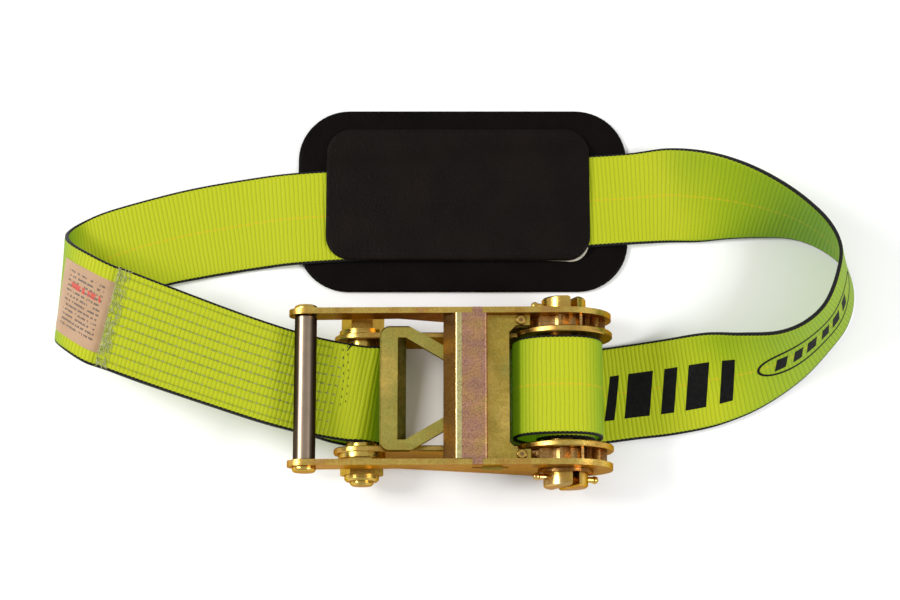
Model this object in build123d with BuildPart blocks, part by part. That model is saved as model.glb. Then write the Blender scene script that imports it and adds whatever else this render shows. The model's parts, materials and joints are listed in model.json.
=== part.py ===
from build123d import *

import os
from math import cos, pi, radians, sin

# Ratchet webbing tensioner with a closed loop of webbing and a sliding pad, lying on its back.
# Row frame, millimetres: the loop lies on the plane Z = 0, its long way is X, and the ratchet
# is on the -Y side with its handle closed and facing up (+Z). The origin is the middle of the
# footprint. The spindle, the anchor bolt and the grip all run along Y.

os.makedirs("parts", exist_ok=True)

# ---- where the ratchet lies -------------------------------------------------------------
RATCHET_Y = -53.0            # middle plane of the ratchet
SPINDLE_X = 54.0
SPINDLE_Z = 24.5             # the frame plates stand on Z = 0
BOLT_REACH = 103.0           # spindle to anchor bolt, towards -X
BOLT_RISE = -8.0             # anchor bolt above the spindle axis
GRIP_REACH = 131.0           # spindle to grip
GRIP_RISE = 12.5

# ---- stack of plates, measured outwards from the middle plane ----------------------------
PLATE = 3.0
FRAME_IN = 27.5
WHEEL_IN = 30.65
WHEEL_PLATE = 2.95
WHEEL_GAP = 0.1
HANDLE_IN = 36.8
WASHER_IN = 39.95
SPINDLE_HALF_LENGTH = 48.5
PIN_OUT = 43.6               # cotter pins, outside the washers
PIN_R = 1.5
SIDES = (-1, 1)

# ---- spindle ------------------------------------------------------------------------------
SPINDLE_R = 11.25
SPINDLE_SLOT = 3.8
SLOT_LEAN = 25.0             # the slot leans this far from upright, towards +X
RUNNING_FIT = 0.05
TEETH = 12
TIP_R = 21.0
ROOT_R = 17.0
FACE_ANGLE = -12.0           # steep face of one tooth, above the -X direction
COIL_R = 15.8                # turns wound tight on the spindle
OUTER_TURN = (26.4, 22.4, 19.2)   # loose outer turn: reach to the left, up and down, to the right

# ---- pawls ----------------------------------------------------------------------------------
FRAME_PAWL_Z = -6.0          # middle of the plate, from the spindle axis
FRAME_PAWL_TRAVEL = 5.0
HANDLE_PAWL_Z = 11.75
HANDLE_PAWL_PLATE = 3.5
HANDLE_PAWL_PULL = 5.0       # away from the wheels
HANDLE_PAWL_DROP = 2.5       # into the teeth
TINE_IN = 31.2
TINE_OUT = 36.3

# ---- webbing --------------------------------------------------------------------------------
WEB_WIDTH = 50.0
WEB_THICK = 2.2
FLOOR_Z = 1.3                # middle of webbing that lies on the floor
PAD_Z = 3.5                  # middle of webbing inside the pad
TURN_R = 21.5
TURN_X = -181.5
TURN_Z = TURN_R + FLOOR_Z

# ---- pad ------------------------------------------------------------------------------------
PAD_CENTRE = (2.4, 54.2)
PAD_SIZE = (174.0, 99.0)
PAD_THICK = 2.1
PATCH_CENTRE = (0.0, 57.0)
PATCH_SIZE = (139.0, 72.0)
PATCH_Z = 4.8


def side_plane(offset):
    """Plane across the spindle: x runs along +X, y along +Z, its normal along -Y."""
    return Plane(origin=(SPINDLE_X, RATCHET_Y - offset, SPINDLE_Z), x_dir=(1, 0, 0), z_dir=(0, -1, 0))


def level_plane(rise):
    """Level plane with its origin over the spindle, on the ratchet's middle plane."""
    return Plane(origin=(SPINDLE_X, RATCHET_Y, SPINDLE_Z + rise), z_dir=(0, 0, 1))


def slab_plane(side, inner, thickness):
    """Side plane from which a plate is extruded so that it spans inner to inner + thickness."""
    return side_plane(inner if side > 0 else -(inner + thickness))


def write(part, name):
    part.label = name
    export_step(part, f"parts/{name}.step")


SIDE_NAME = {-1: "far", 1: "near"}


# ---- frame ----------------------------------------------------------------------------------
PAWL_SLOT_FRONT = -29.4
PAWL_BODY = 19.0
PAWL_SLOT_LENGTH = PAWL_BODY + FRAME_PAWL_TRAVEL + 0.7
SEAT_X = -60.0
SEAT_TAB = (10.0, 3.0)


def frame_plate(side):
    with BuildPart() as plate:
        with BuildSketch(slab_plane(side, FRAME_IN, PLATE)) as outline:
            Circle(SPINDLE_Z)
            with Locations((-BOLT_REACH, BOLT_RISE - 2)):
                Circle(SPINDLE_Z + BOLT_RISE - 2)
            Polygon((-BOLT_REACH, -SPINDLE_Z), (0, -SPINDLE_Z), (0, 4.5), (-BOLT_REACH, 4.5), align=None)
            fillet(outline.vertices().sort_by_distance((SPINDLE_X - 24.1, RATCHET_Y, SPINDLE_Z + 4.5))[0:1],
                   radius=5)
            Circle(SPINDLE_R + RUNNING_FIT, mode=Mode.SUBTRACT)
            with Locations((-BOLT_REACH, BOLT_RISE)):
                Circle(6.02, mode=Mode.SUBTRACT)
            with Locations((PAWL_SLOT_FRONT - PAWL_SLOT_LENGTH / 2, FRAME_PAWL_Z)):
                Rectangle(PAWL_SLOT_LENGTH, PLATE + 0.4, mode=Mode.SUBTRACT)
            with Locations((SEAT_X, -14)):
                Rectangle(SEAT_TAB[1], SEAT_TAB[0], mode=Mode.SUBTRACT)
        extrude(amount=PLATE)
        rims = plate.edges().filter_by(Plane.XZ).filter_by(GeomType.LINE, reverse=True)
        chamfer(rims.filter_by(lambda edge: edge.radius > 13), length=0.5)
    return plate.part


for side in SIDES:
    write(frame_plate(side), f"frame_plate_{SIDE_NAME[side]}")

with BuildPart() as frame_spring_seat:
    with BuildSketch(Plane(origin=(SPINDLE_X + SEAT_X - SEAT_TAB[1] / 2, RATCHET_Y, SPINDLE_Z),
                           x_dir=(0, 1, 0), z_dir=(1, 0, 0))):
        with Locations((0, -10)):
            RectangleRounded(2 * FRAME_IN - 0.1, 24, 2)
        with Locations((0, -14)):
            Rectangle(2 * (FRAME_IN + PLATE + 1.2), SEAT_TAB[0] - 0.06)
    extrude(amount=SEAT_TAB[1] - 0.04)
write(frame_spring_seat.part, "frame_spring_seat")

with BuildPart() as frame_pawl:
    with BuildSketch(level_plane(FRAME_PAWL_Z - PLATE / 2)):
        with Locations((PAWL_SLOT_FRONT - 0.2 - PAWL_BODY / 2, 0)):
            Rectangle(PAWL_BODY, 2 * TINE_OUT)
        for side in SIDES:
            with Locations((-24.4, side * (TINE_IN + TINE_OUT) / 2)):
                Rectangle(13.0, TINE_OUT - TINE_IN)
    extrude(amount=PLATE)
    chamfer(frame_pawl.faces().sort_by(Axis.X)[0].edges().filter_by(Axis.Y), length=0.6)
write(frame_pawl.part, "frame_pawl")

SPRING_BACK = SEAT_X + SEAT_TAB[1] / 2 + 0.05
SPRING_FRONT = PAWL_SLOT_FRONT - 0.25 - PAWL_BODY
with BuildPart() as frame_pawl_spring:
    with BuildSketch(Plane(origin=(SPINDLE_X + SPRING_BACK, RATCHET_Y, SPINDLE_Z + FRAME_PAWL_Z),
                           x_dir=(0, 1, 0), z_dir=(1, 0, 0))):
        Circle(3.6)
        Circle(2.4, mode=Mode.SUBTRACT)
    extrude(amount=SPRING_FRONT - SPRING_BACK)
write(frame_pawl_spring.part, "frame_pawl_spring")

# ---- anchor bolt, its washers, nut and sleeve ------------------------------------------------
BOLT_R = 6.0
WASHER_T = 2.4
HEAD_IN = FRAME_IN + PLATE + WASHER_T
bolt_shift = (-BOLT_REACH, BOLT_RISE)

with BuildPart() as anchor_bolt:
    with BuildSketch(side_plane(-HEAD_IN)):
        with Locations(bolt_shift):
            Circle(BOLT_R)
    extrude(amount=HEAD_IN + 46.5)
    with BuildSketch(side_plane(-HEAD_IN - 7.5)):
        with Locations(bolt_shift):
            RegularPolygon(10.97, 6)
    extrude(amount=7.5)
    chamfer(anchor_bolt.faces().sort_by(Axis.Y)[0].edges(), length=1.0)
write(anchor_bolt.part, "anchor_bolt")

with BuildPart() as anchor_nut:
    with BuildSketch(side_plane(HEAD_IN)):
        with Locations(bolt_shift):
            RegularPolygon(10.97, 6)
            Circle(BOLT_R + 0.02, mode=Mode.SUBTRACT)
    extrude(amount=8.5)
    with BuildSketch(side_plane(HEAD_IN + 8.5)):
        with Locations(bolt_shift):
            Circle(8.8)
            Circle(BOLT_R + 0.02, mode=Mode.SUBTRACT)
    extrude(amount=3.0)
    chamfer(anchor_nut.faces().sort_by(Axis.Y)[0].edges().sort_by(SortBy.LENGTH)[-1], length=1.0)
write(anchor_nut.part, "anchor_nut")

with BuildPart() as anchor_washers:
    for side in SIDES:
        with BuildSketch(slab_plane(side, FRAME_IN + PLATE, WASHER_T)):
            with Locations(bolt_shift):
                Circle(12.0)
                Circle(BOLT_R + 0.2, mode=Mode.SUBTRACT)
        extrude(amount=WASHER_T)
write(anchor_washers.part, "anchor_washers")

SLEEVE_R = 8.0
with BuildPart() as anchor_sleeve:
    with BuildSketch(side_plane(-FRAME_IN + 0.1)):
        with Locations(bolt_shift):
            Circle(SLEEVE_R)
            Circle(BOLT_R + 0.1, mode=Mode.SUBTRACT)
    extrude(amount=2 * FRAME_IN - 0.2)
write(anchor_sleeve.part, "anchor_sleeve")

# ---- spindle ----------------------------------------------------------------------------------
def slot_plane(offset, turn):
    """Side plane turned about the spindle axis, so that its x runs across the slot."""
    lean = radians(turn)
    return Plane(origin=(SPINDLE_X, RATCHET_Y - offset, SPINDLE_Z), x_dir=(cos(lean), 0, sin(lean)),
                 z_dir=(0, -1, 0))


for name, turn in (("spindle_half_right", -SLOT_LEAN), ("spindle_half_left", 180 - SLOT_LEAN)):
    with BuildPart() as half:
        with BuildSketch(slot_plane(-SPINDLE_HALF_LENGTH, turn)):
            Circle(SPINDLE_R)
            with Locations((-SPINDLE_R + SPINDLE_SLOT / 2, 0)):
                Rectangle(2 * SPINDLE_R, 4 * SPINDLE_R, mode=Mode.SUBTRACT)
        extrude(amount=2 * SPINDLE_HALF_LENGTH)
        for side in SIDES:
            with Locations(slot_plane(side * PIN_OUT, turn)):
                with Locations(Location((0, 0, 0), (0, 90, 0))):
                    Cylinder(PIN_R + 0.05, 4 * SPINDLE_R, mode=Mode.SUBTRACT)
        chamfer(half.faces().sort_by(Axis.Y)[0].edges() + half.faces().sort_by(Axis.Y)[-1].edges(),
                length=0.8)
    write(half.part, name)

with BuildPart() as cotter_pins:
    for side in SIDES:
        with Locations(slot_plane(side * PIN_OUT, -SLOT_LEAN)):
            with Locations(Location((0, 0, 0), (0, 90, 0))):
                Cylinder(PIN_R, 33.0)
            for end in SIDES:
                with Locations((end * 16.5, 0, 0)):
                    Sphere(2.0)
write(cotter_pins.part, "cotter_pins")

with BuildPart() as spindle_washers:
    for side in SIDES:
        with BuildSketch(slab_plane(side, WASHER_IN, 1.6)):
            Circle(14.0)
            Circle(SPINDLE_R + 0.02, mode=Mode.SUBTRACT)
        extrude(amount=1.6)
write(spindle_washers.part, "spindle_washers")


def tooth_outline():
    """Corners of the saw-toothed wheel; angles rise from -X over +Z, the winding direction."""
    corners = []
    for tooth in range(TEETH):
        face = FACE_ANGLE + tooth * 360 / TEETH
        for angle, radius in ((0, ROOT_R), (1.2, TIP_R), (5, TIP_R), (18, ROOT_R), (24, ROOT_R - 0.2)):
            turned = radians(face + angle)
            corners.append((-radius * cos(turned), radius * sin(turned)))
    return corners


def ratchet_wheel(side, layer):
    inner = WHEEL_IN + layer * (WHEEL_PLATE + WHEEL_GAP)
    with BuildPart() as wheel:
        with BuildSketch(slab_plane(side, inner, WHEEL_PLATE)):
            with BuildLine():
                Polyline(*tooth_outline(), close=True)
            make_face()
            Circle(SPINDLE_R + 0.02, mode=Mode.SUBTRACT)
        extrude(amount=WHEEL_PLATE)
    return wheel.part


for side in SIDES:
    for layer, layer_name in enumerate(("inner", "outer")):
        write(ratchet_wheel(side, layer), f"ratchet_wheel_{SIDE_NAME[side]}_{layer_name}")

with BuildPart() as webbing_coil:
    with BuildSketch(side_plane(-WEB_WIDTH / 2)):
        Circle(COIL_R)
        Circle(SPINDLE_R + 0.35, mode=Mode.SUBTRACT)
    extrude(amount=WEB_WIDTH)
write(webbing_coil.part, "webbing_coil")

# ---- handle -----------------------------------------------------------------------------------
HANDLE_R = 24.0
GRIP_LOBE_R = 8.5
GRIP_R = 5.6
ROD_R = 3.5
RIDGE_TAB = (-47.0, -42.0)
RIDGE_TOP = 23.6
EAR_SLOT = (-42.0 - HANDLE_PAWL_PULL - 0.3, -32.0 + HANDLE_PAWL_DROP + 0.3)
grip_shift = (-GRIP_REACH, GRIP_RISE)


def handle_plate(side):
    with BuildPart() as plate:
        with BuildSketch(slab_plane(side, HANDLE_IN, PLATE)) as outline:
            Circle(HANDLE_R)
            with Locations(grip_shift):
                Circle(GRIP_LOBE_R)
            Polygon((-GRIP_REACH, GRIP_RISE + GRIP_LOBE_R), (0, HANDLE_R), (-13.4, -19.9), (-40, -9),
                    (-84, 7.5), (-GRIP_REACH + 1, GRIP_RISE - 8.44), align=None)
            for corner, radius in (((-84, 7.5), 60), ((-40, -9), 30)):
                spot = (SPINDLE_X + corner[0], RATCHET_Y, SPINDLE_Z + corner[1])
                fillet(outline.vertices().sort_by_distance(spot)[0:1], radius=radius)
            Circle(SPINDLE_R + RUNNING_FIT, mode=Mode.SUBTRACT)
            with Locations(grip_shift):
                Circle(ROD_R + 0.02, mode=Mode.SUBTRACT)
            with Locations(((EAR_SLOT[0] + EAR_SLOT[1]) / 2, HANDLE_PAWL_Z)):
                Rectangle(EAR_SLOT[1] - EAR_SLOT[0], HANDLE_PAWL_PLATE + 0.4, mode=Mode.SUBTRACT)
            with Locations(((RIDGE_TAB[0] + RIDGE_TAB[1]) / 2, RIDGE_TOP - 2)):
                Rectangle(RIDGE_TAB[1] - RIDGE_TAB[0], 4.0, mode=Mode.SUBTRACT)
        extrude(amount=PLATE)
    return plate.part


for side in SIDES:
    write(handle_plate(side), f"handle_plate_{SIDE_NAME[side]}")

with BuildPart() as grip_tube:
    with BuildSketch(side_plane(-HANDLE_IN + 0.1)):
        with Locations(grip_shift):
            Circle(GRIP_R)
            Circle(ROD_R + 0.1, mode=Mode.SUBTRACT)
    extrude(amount=2 * HANDLE_IN - 0.2)
    chamfer(grip_tube.edges().filter_by(GeomType.CIRCLE).filter_by(lambda e: e.radius > GRIP_R - 0.1),
            length=0.5)
write(grip_tube.part, "grip_tube")

with BuildPart() as grip_rod:
    with BuildSketch(side_plane(-HANDLE_IN - PLATE - 0.1)):
        with Locations(grip_shift):
            Circle(ROD_R)
    extrude(amount=2 * (HANDLE_IN + PLATE + 0.1))
    for side in SIDES:
        with BuildSketch(slab_plane(side, HANDLE_IN + PLATE + 0.05, 2.6)):
            with Locations(grip_shift):
                Circle(6.0)
        extrude(amount=2.6)
    ends = grip_rod.faces().sort_by(Axis.Y)
    fillet(ends[0].edges() + ends[-1].edges(), radius=1.6)
write(grip_rod.part, "grip_rod")

# Cross ridge: a folded plate that ties the handle plates and carries the pawl spring's tongue.
RIDGE_HALF = HANDLE_IN - 0.1
with BuildPart() as handle_ridge:
    with BuildSketch(side_plane(-RIDGE_HALF)):
        with BuildLine():
            Polyline((-61.5, 15.6), (-55.2, RIDGE_TOP), (-39.6, RIDGE_TOP), (-39.6, 18.2), (-42.2, 18.2),
                     (-42.2, RIDGE_TOP - 2.6), (-53.9, RIDGE_TOP - 2.6), (-59.4, 14.1), close=True)
        make_face()
    extrude(amount=2 * RIDGE_HALF)
    fillet(handle_ridge.edges().filter_by(Axis.Y).group_by(Axis.Z)[-1], radius=1.4)
    with BuildSketch(side_plane(-7)):
        with BuildLine():
            Polyline((-61.5, 15.8), (-59.4, 14.6), (-59.4, 7.4), (-61.5, 7.4), close=True)
        make_face()
    extrude(amount=14)
    for side in SIDES:
        with BuildSketch(slab_plane(side, RIDGE_HALF - 1, PLATE + 1.0)):
            with Locations(((RIDGE_TAB[0] + RIDGE_TAB[1]) / 2, RIDGE_TOP - 2)):
                Rectangle(RIDGE_TAB[1] - RIDGE_TAB[0] - 0.04, 3.9)
        extrude(amount=PLATE + 1.0)
write(handle_ridge.part, "handle_ridge")

with BuildPart() as handle_web:
    with BuildSketch(level_plane(15.2)):
        with BuildLine():
            Polyline((-42.0, RIDGE_HALF), (-18.0, RIDGE_HALF), (-18.0, 31.4), (-25.0, 31.4), (-28.5, 27.9),
                     (-28.5, -27.9), (-25.0, -31.4), (-18.0, -31.4), (-18.0, -RIDGE_HALF),
                     (-42.0, -RIDGE_HALF), close=True)
        make_face()
        for side in SIDES:
            with Locations((-22.5, side * 34.0)):
                Circle(1.52, mode=Mode.SUBTRACT)
    extrude(amount=2.8)
write(handle_web.part, "handle_web")

with BuildPart() as web_rivets:
    for side in SIDES:
        with Locations((SPINDLE_X - 22.5, RATCHET_Y + side * 34.0, SPINDLE_Z + 16.9)):
            Cylinder(1.5, 2.9)
        with Locations((SPINDLE_X - 22.5, RATCHET_Y + side * 34.0, SPINDLE_Z + 18.75)):
            Cylinder(2.6, 1.4)
    fillet(web_rivets.faces().filter_by(Axis.Z).group_by(Axis.Z)[-1].edges(), radius=0.7)
write(web_rivets.part, "web_rivets")

# Handle pawl: one plate with a finger pull at the back and tines beside the frame at the front.
with BuildPart() as handle_pawl:
    with BuildSketch(level_plane(HANDLE_PAWL_Z - HANDLE_PAWL_PLATE / 2)) as pawl_outline:
        Polygon((-93.5, -32), (-79, -32), (-54, -17.5), (-50, -17.5), (-50, 17.5), (-54, 17.5),
                (-79, 32), (-93.5, 32), align=None)
        back_corners = pawl_outline.vertices().group_by(Axis.X)[0]
        fillet(back_corners, radius=5)
        Polygon((-84.5, -26), (-80.5, -26), (-56, -11.5), (-49, -11.5), (-49, 11.5), (-56, 11.5),
                (-80.5, 26), (-84.5, 26), align=None, mode=Mode.SUBTRACT)
        with Locations((-40, 0)):
            Rectangle(20, 2 * TINE_OUT)
        with Locations((-37, 0)):
            Rectangle(10, 2 * (HANDLE_IN + PLATE + 1.4))
        for side in SIDES:
            with Locations((-25.5, side * (TINE_IN + TINE_OUT) / 2)):
                Rectangle(13.0, TINE_OUT - TINE_IN)
    extrude(amount=HANDLE_PAWL_PLATE)
    chamfer(handle_pawl.faces().sort_by(Axis.X)[0].edges().filter_by(Axis.Y), length=0.8)
    with BuildSketch(side_plane(-25.9)):
        with BuildLine():
            Polyline((-84.6, 10.0), (-84.6, 13.5), (-80.4, 7.6), (-81.6, 5.6), close=True)
        make_face()
    extrude(amount=51.8)
write(handle_pawl.part, "handle_pawl")

with BuildPart() as handle_pawl_spring:
    with BuildSketch(Plane(origin=(SPINDLE_X - 58.9, RATCHET_Y, SPINDLE_Z + HANDLE_PAWL_Z),
                           x_dir=(0, 1, 0), z_dir=(1, 0, 0))):
        Circle(2.8)
        Circle(1.8, mode=Mode.SUBTRACT)
    extrude(amount=8.8)
write(handle_pawl_spring.part, "handle_pawl_spring")

# ---- webbing loop ---------------------------------------------------------------------------
# Each station is (lower edge, upper edge) of the webbing, going round the loop clockwise from
# the anchor bolt: the near run to the left, the left turn, the far run, the right turn and the
# near run back to the spindle. Lower means towards the ratchet side.


def across(centre, lean, half=WEB_WIDTH / 2):
    """Station from its middle and the X and Z parts of its width direction."""
    width = Vector(lean[0], 1, lean[1]).normalized() * half
    middle = Vector(*centre)
    return (middle - width, middle + width)


def left_turn():
    stations = []
    for step in range(7):
        angle = pi * step / 6
        centre = (TURN_X - TURN_R * sin(angle), -16.7 + 42.2 * step / 6, TURN_Z + TURN_R * cos(angle))
        stations.append(across(centre, (0.04 * sin(angle), 0), 26.4))
    return stations


near_left = [
    across((-71.8, -50.0, 25.5), (0.02, 0)),
    across((-115.0, -38.5, 33.5), (0.25, 0.02)),
    across((-153.0, -26.5, 42.0), (0.22, 0.01)),
]
far_run = [
    across((-160.0, 32.0, FLOOR_Z), (-0.2, 0)),
    across((-136.0, 37.3, FLOOR_Z), (-0.17, 0)),
    across((-104.0, 42.0, FLOOR_Z + 0.3), (-0.10, 0)),
    across((-88.0, 43.6, PAD_Z), (-0.06, 0)),
    across((92.5, 54.9, PAD_Z), (-0.04, 0)),
]
right_side = [
    (Vector(110, 31.5, 1.8), Vector(111, 80.0, 11)),
    (Vector(127.6, 32.4, 1.4), Vector(130, 72.8, 28)),
    (Vector(143, 33.7, 1.4), Vector(146.5, 64.0, 40)),
    (Vector(159.3, 34.5, 1.4), Vector(162, 53.5, 47)),
    (Vector(176, 34.0, 1.4), Vector(176, 42.0, 49.5)),
    (Vector(191, 28.3, 1.4), Vector(187.5, 29.5, 50)),
    (Vector(202.5, 18.5, 1.4), Vector(192.5, 17.5, 49.5)),
    (Vector(206.8, 4, 1.4), Vector(190.5, 4, 48.5)),
    (Vector(203, -13, 1.4), Vector(184, -11, 47.5)),
    (Vector(192, -27.5, 1.4), Vector(174, -20.5, 47)),
    (Vector(177.7, -42.1, 1.4), Vector(161, -25.4, 45)),
    (Vector(156.4, -56.8, 1.4), Vector(143.5, -24.6, 37)),
    (Vector(136, -65, 1.4), Vector(127.5, -21.8, 22)),
    (Vector(112, -70.8, 1.3), Vector(106, -21.8, 6)),
]
near_right = [
    across((90.0, -48.5, FLOOR_Z), (-0.12, 0)),
    across((68.0, -51.3, FLOOR_Z + 0.2), (-0.04, 0)),
]


def outer_turn():
    """Loose turn of webbing round the spindle: from its bottom to the left, over and down again."""
    left, rise, right = (reach - WEB_THICK / 2 for reach in OUTER_TURN)
    stations = []
    for step in range(13):
        angle = radians(25 * step)
        reach = left if sin(angle) > 0 else right
        centre = (SPINDLE_X - reach * sin(angle), -52.3, SPINDLE_Z - rise * cos(angle))
        stations.append(across(centre, (0, 0)))
    return stations


loop = near_left + left_turn() + far_run + right_side + near_right + outer_turn()


def station_plane(index, lift=0.0):
    """Section plane of the webbing: x across it, y through its thickness towards its outer face."""
    lower, upper = loop[index]
    before = loop[max(index - 1, 0)]
    after = loop[min(index + 1, len(loop) - 1)]
    along = (after[0] + after[1]) - (before[0] + before[1])
    outward = (upper - lower).cross(along).normalized()
    x_dir = (upper - lower).normalized()
    return Plane(origin=(lower + upper) * 0.5 + outward * lift, x_dir=x_dir,
                 z_dir=x_dir.cross(outward))


def webbing(first, last, thickness=WEB_THICK, lift=0.0, share=1.0):
    """Closed band between two stations; lift moves it outwards and share narrows it."""
    with BuildPart() as band:
        for index in range(first, last + 1):
            lower, upper = loop[index]
            with BuildSketch(station_plane(index, lift)):
                Rectangle((upper - lower).length * share, thickness)
        loft(ruled=True)
    return band.part


turn_start = len(near_left)
far_start = turn_start + 7
right_start = far_start + len(far_run)
write(webbing(0, turn_start), "strap_near_left")
write(webbing(turn_start, far_start), "strap_left_turn")
write(webbing(far_start, far_start + 3), "strap_far_left")
write(webbing(far_start + 3, far_start + 4), "strap_far_middle")
write(webbing(far_start + 4, right_start + 3), "strap_far_right")
write(webbing(right_start + 3, right_start + 10), "strap_right_turn")
write(webbing(right_start + 10, right_start + len(right_side) + 2), "strap_near_right")
write(webbing(right_start + len(right_side) + 2, len(loop) - 1), "strap_outer_turn")
write(webbing(0, turn_start, lift=WEB_THICK + 0.1), "strap_sewn_end")
write(webbing(turn_start + 1, turn_start + 3, thickness=0.4, lift=1.4, share=0.74), "strap_label")

EYE_R = SLEEVE_R + 0.3
EYE_Y = -51.0
with BuildPart() as strap_eye:
    with BuildSketch(side_plane(RATCHET_Y - EYE_Y - WEB_WIDTH / 2)):
        with Locations(bolt_shift):
            Circle(EYE_R + WEB_THICK)
        Polygon((-BOLT_REACH, BOLT_RISE + EYE_R + WEB_THICK), (-124.5, 4.0), (-124.5, -0.1),
                (-BOLT_REACH - 4.6, BOLT_RISE - 9.4), align=None)
        with Locations(bolt_shift):
            Circle(EYE_R, mode=Mode.SUBTRACT)
    extrude(amount=WEB_WIDTH)
write(strap_eye.part, "strap_eye")

# ---- pad ------------------------------------------------------------------------------------
with BuildPart() as pad_base:
    with BuildSketch():
        with Locations(PAD_CENTRE):
            RectangleRounded(*PAD_SIZE, 27.0)
    extrude(amount=PAD_THICK)
write(pad_base.part, "pad_base")

with BuildPart() as pad_patch:
    with BuildSketch(Plane.XY.offset(PATCH_Z)):
        with Locations(PATCH_CENTRE):
            RectangleRounded(*PATCH_SIZE, 13.0)
    extrude(amount=PAD_THICK)
write(pad_patch.part, "pad_patch")
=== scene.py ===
import json
import math
import random

import bpy
import numpy as np
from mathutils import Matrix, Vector


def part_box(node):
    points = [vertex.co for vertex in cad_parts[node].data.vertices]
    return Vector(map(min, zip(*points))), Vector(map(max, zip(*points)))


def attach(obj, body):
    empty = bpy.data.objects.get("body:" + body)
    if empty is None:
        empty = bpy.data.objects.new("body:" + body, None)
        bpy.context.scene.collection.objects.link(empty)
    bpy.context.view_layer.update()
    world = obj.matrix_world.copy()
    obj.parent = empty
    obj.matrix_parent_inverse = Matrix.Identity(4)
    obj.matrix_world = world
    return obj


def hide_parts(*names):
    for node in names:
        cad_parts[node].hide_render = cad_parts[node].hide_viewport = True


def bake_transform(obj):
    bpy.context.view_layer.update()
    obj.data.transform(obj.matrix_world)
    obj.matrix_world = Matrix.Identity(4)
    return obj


# Looks of the ratchet webbing tensioner: materials, webbing, print, pad, springs, camera and light.
# Lengths are millimetres unless a name or comment says otherwise.

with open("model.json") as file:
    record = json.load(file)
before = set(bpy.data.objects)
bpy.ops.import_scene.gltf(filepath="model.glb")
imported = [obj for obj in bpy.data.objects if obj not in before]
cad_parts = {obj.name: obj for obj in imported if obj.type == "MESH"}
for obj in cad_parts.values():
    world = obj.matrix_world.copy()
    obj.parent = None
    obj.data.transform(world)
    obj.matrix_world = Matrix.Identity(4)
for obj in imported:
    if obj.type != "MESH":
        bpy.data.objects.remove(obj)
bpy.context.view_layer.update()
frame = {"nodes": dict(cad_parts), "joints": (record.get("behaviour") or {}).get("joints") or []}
MM = 0.001
random.seed(7)

# ---- places read from the frame ---------------------------------------------------------------
joint_at = {joint["name"]: joint for joint in frame["joints"]}
SPINDLE = Vector(joint_at["handle_hinge"]["pos_m"]) / MM
coil_low, coil_high = (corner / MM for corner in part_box("webbing_coil"))
sleeve_low, sleeve_high = (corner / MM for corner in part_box("anchor_sleeve"))
BOLT = (sleeve_low + sleeve_high) / 2
pad_low, pad_high = (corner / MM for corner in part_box("pad_base"))
patch_low, patch_high = (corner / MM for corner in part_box("pad_patch"))

# ---- webbing sizes, millimetres -----------------------------------------------------------------
WEB_WIDTH = 50.0
WEB_THICK = 2.1
FLOOR_Z = 1.15
PAD_Z = 3.4
TURN_R = 21.5
TURN_X = -181.5
TURN_LEAN = 0.2
TURN_NEAR_Y = -15.7
TURN_Y_SPAN = 38.7
SHOULDER = 0.8
OUTER_TURN = (26.4, 22.4, 19.2)  # reach to the left, up and to the right of the spindle
OUTER_Y = -52.3
RIB_PITCH = 2.2
YARNS = 62                       # fine lines across the width
SELVEDGE = 1.15
EYE_Y = -53.6
COIL_TURNS = 1.35
COIL_INNER = 12.7
SLOT_LEAN = math.radians(25)

# ---- sewn end and label ---------------------------------------------------------------------------
SEWN_LEFT = -176.0
SEWN_RIGHT = -60.0
SEWN_MEETS_EYE = -74.0
ROW_PITCH = 4.67
ROW_OFFSET = 4.0
SEWN_SPAN = 114.0
STITCH_PITCH = 3.6
STITCH_ROWS = [ROW_OFFSET - WEB_WIDTH / 2 + ROW_PITCH * row for row in range(10)]
TACK_STITCHES = 16
FRAY = 6.0
FRAY_THREADS = 300
LABEL_LENGTH = 33.0
LABEL_TUCK = 3.0
LABEL_LOW = -18.5
LABEL_WIDTH = 35.5

# ---- printed marks ----------------------------------------------------------------------------------
BARS = ((0.0, 7.0), (14.0, 11.0), (31.0, 7.0), (44.0, 13.0), (62.0, 5.0))  # start and width of each
BAR_SLANT = 5.0
BAR_EDGES = (-13.5, 9.5)
BARS_X = 139.0
RING_BEFORE_BARS = 52.0
RING_HALF = (36.0, 8.0)
RING_LINE = 1.4
DOTS = 6
DOT_PITCH = 9.0
DOT_SLANT = 3.0
DOT_EDGES = (-5.0, 3.0)
MARK_LIFT = WEB_THICK / 2 + 0.02
MARK_THICK = 0.08

# ---- pad and patch ------------------------------------------------------------------------------------
PAD_CORNER = 27.0
PATCH_CORNER = 13.0
PATCH_THICK = 1.9
PATCH_REST = pad_high.z + 0.15
HUMP = 2.35                      # how far the webbing below lifts the patch
HUMP_SLOPE = 9.5
SEAM_IN = 3.2
SEAM_PITCH = 4.0
PAD_THICK = pad_high.z - pad_low.z

# ---- springs ------------------------------------------------------------------------------------------
SPRING_TURNS = 6
FRAME_WIRE = 0.45
HANDLE_WIRE = 0.4

# ---- colours, linear ----------------------------------------------------------------------------------
GOLD = (0.57, 0.34, 0.075)
OLIVE = (0.46, 0.33, 0.060)
STRAW = (0.64, 0.46, 0.11)
ROSE = (0.56, 0.32, 0.15)
VIOLET = (0.48, 0.26, 0.19)
GREENISH = (0.42, 0.37, 0.085)
# painted highlight for the ridge's bend, and painted shade for its flange and the rivets' middles
PAINTED_HIGHLIGHT_GOLD = (0.62, 0.56, 0.25)
PAINTED_SHADE_BROWN = (0.30, 0.17, 0.06)
CHROMATE_TINT = (0.72, 0.46, 0.20, 1)
LIT_LIME = (0.40, 0.41, 0.0075)
MID_LIME = (0.26, 0.33, 0.0045)
SHADE_GREEN = (0.12, 0.22, 0.002)
TRACER = (0.62, 0.30, 0.008)
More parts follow.
